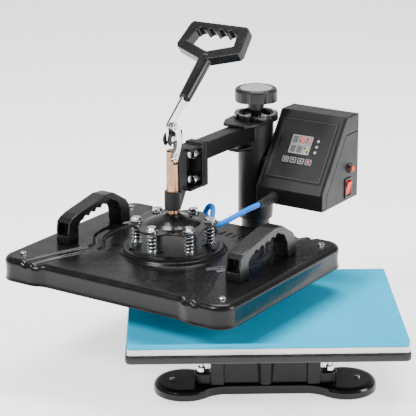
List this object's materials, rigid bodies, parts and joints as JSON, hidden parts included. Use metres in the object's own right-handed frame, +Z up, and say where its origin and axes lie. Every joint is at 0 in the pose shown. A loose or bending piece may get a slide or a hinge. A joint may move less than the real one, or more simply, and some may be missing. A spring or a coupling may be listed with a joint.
{
  "type": "heat press",
  "caption": "Swing-away heat press: heated platen on a spring plate and toggle lever, a padded lower platen, a column with pressure knob and a digital control box.",
  "frame": {"origin": "foot of the column axis on the table plane", "axes": "+X to the operator's right, +Y from the operator towards the back, +Z up"},
  "size_m": [0.5571, 0.4683, 0.4776],
  "materials": {
    "cast_black": "satin black powder coat",
    "cover_black": "satin black paint on pressed steel",
    "alu_black": "black painted aluminium",
    "zinc": "bright zinc plate",
    "copper_rod": "copper plated steel",
    "bronze": "sintered bronze",
    "plastic_black": "moulded black plastic",
    "plastic_case": "fine textured black plastic",
    "label": "printed polycarbonate label",
    "window": "display glass over seven-segment digits",
    "lamp": "clear lamp lens",
    "key_grey": "moulded key",
    "red_plastic": "translucent red plastic",
    "orange_plastic": "orange plastic",
    "board": "circuit board",
    "grey_cap": "grey plastic disc",
    "blue_silicone": "cyan silicone foam",
    "cream_felt": "cream silicone sponge",
    "rubber_black": "black rubber",
    "blue_sleeve": "blue silicone sleeve",
    "heater_alu": "coated aluminium",
    "mat": "woven glass fibre"
  },
  "bodies": {
    "base": {"front_foot": "cast_black", "rear_foot": "cast_black", "base_spine": "cast_black", "rubber_feet": "rubber_black", "foot_screws": "zinc", "spine_bolts": "zinc", "column_post": "cast_black", "platen_holder": "cast_black", "holder_studs": "zinc", "lower_platen": "alu_black", "felt_pad": "cream_felt", "silicone_pad": "blue_silicone"},
    "wing_nut_l": {"wing_nut_left": "zinc"},
    "wing_nut_r": {"wing_nut_right": "zinc"},
    "carrier": {"column_bushes": "bronze"},
    "head": {"head_casting": "cast_black", "cap_plate": "cast_black", "lock_ring": "cover_black", "toggle_frame": "cast_black", "bracket_bolts": "zinc", "guide_bush": "bronze", "lever_pin": "zinc", "case_front": "plastic_case", "case_back": "plastic_case", "box_bracket": "zinc", "panel_label": "label", "display_windows": "window", "indicator_leds": "lamp", "rocker_frame": "plastic_black", "reset_bezel": "plastic_black", "mains_inlet": "plastic_black", "control_board": "board", "strain_relief": "rubber_black", "heater_cable": "blue_sleeve"},
    "knob": {"pressure_knob": "plastic_black", "knob_cap": "grey_cap", "knob_spindle": "cover_black"},
    "lever": {"lever_bar": "zinc", "lever_grip": "plastic_black"},
    "links": {"link_plate": "zinc", "link_rivets": "zinc"},
    "plunger": {"plunger_rod": "copper_rod", "pressure_spider": "cover_black", "springs": "zinc"},
    "platen": {"spring_bolts": "zinc", "pressure_disc": "cover_black", "platen_cover": "cover_black", "cover_screws": "zinc", "insulation_mat": "mat", "heating_plate": "heater_alu", "handle_left": "plastic_black", "handle_right": "plastic_black", "handle_screws": "zinc", "cable_grommet": "rubber_black"},
    "key_set_body": {"key_set": "key_grey"},
    "key_down_body": {"key_down": "key_grey"},
    "key_up_body": {"key_up": "key_grey"},
    "key_stop_body": {"key_stop": "key_grey"},
    "rocker_body": {"power_rocker": "red_plastic"},
    "reset_body": {"reset_button": "orange_plastic"}
  },
  "joints": [
    {"name": "head_lift", "type": "slide", "parent": "base", "child": "carrier", "axis": [0, 0, 1], "range_m": [0, 0.006]},
    {"name": "head_swing", "type": "hinge", "parent": "carrier", "child": "head", "pos_m": [0, 0, 0], "axis": [0, 0, 1], "range_deg": [-145.3, 34.7]},
    {"name": "knob_turn", "type": "hinge", "parent": "head", "child": "knob", "pos_m": [0, 0, 0.355], "axis": [0, 0, -1], "range_deg": [0, 1080]},
    {"name": "plunger_slide", "type": "slide", "parent": "head", "child": "plunger", "axis": [0, 0, -1], "range_m": [0, 0.036], "deforming": ["heater_cable"]},
    {"name": "lever_turn", "type": "hinge", "parent": "head", "child": "lever", "pos_m": [-0.12923, -0.18663, 0.337], "axis": [0.8221, -0.5693, 0], "range_deg": [0, 165]},
    {"name": "link_turn", "type": "hinge", "parent": "lever", "child": "links", "pos_m": [-0.12923, -0.18663, 0.3555], "axis": [0.8221, -0.5693, 0], "range_deg": [-165, 0]},
    {"name": "platen_float", "type": "slide", "parent": "plunger", "child": "platen", "axis": [0, 0, 1], "range_m": [0, 0.004], "stiffness_N_per_m": 20000, "springref_m": -0.001, "deforming": ["springs"]},
    {"name": "wing_nut_l_turn", "type": "hinge", "parent": "base", "child": "wing_nut_l", "pos_m": [-0.089, -0.294, 0.036], "axis": [0, 0, 1], "continuous": true},
    {"name": "wing_nut_r_turn", "type": "hinge", "parent": "base", "child": "wing_nut_r", "pos_m": [0.089, -0.294, 0.036], "axis": [0, 0, 1], "continuous": true},
    {"name": "rocker_tip", "type": "hinge", "parent": "head", "child": "rocker_body", "pos_m": [0.13253, -0.05102, 0.2225], "axis": [-0.5693, -0.8221, 0], "range_deg": [0, 14]},
    {"name": "reset_press", "type": "slide", "parent": "head", "child": "reset_body", "axis": [-0.8221, 0.5693, 0], "range_m": [0, 0.002], "stiffness_N_per_m": 500},
    {"name": "key_set_press", "type": "slide", "parent": "head", "child": "key_set_body", "axis": [0.466, 0.6729, -0.5745], "range_m": [0, 0.0006], "stiffness_N_per_m": 600},
    {"name": "key_down_press", "type": "slide", "parent": "head", "child": "key_down_body", "axis": [0.466, 0.6729, -0.5745], "range_m": [0, 0.0006], "stiffness_N_per_m": 600},
    {"name": "key_up_press", "type": "slide", "parent": "head", "child": "key_up_body", "axis": [0.466, 0.6729, -0.5745], "range_m": [0, 0.0006], "stiffness_N_per_m": 600},
    {"name": "key_stop_press", "type": "slide", "parent": "head", "child": "key_stop_body", "axis": [0.466, 0.6729, -0.5745], "range_m": [0, 0.0006], "stiffness_N_per_m": 600}
  ],
  "couplings": [
    {"joint": "knob_turn", "follows": "head_lift", "rad_per_m": 3141.6},
    {"joint": "lever_turn", "follows": "plunger_slide", "rad_per_m": 79.99},
    {"joint": "link_turn", "follows": "plunger_slide", "rad_per_m": -79.99}
  ]
}
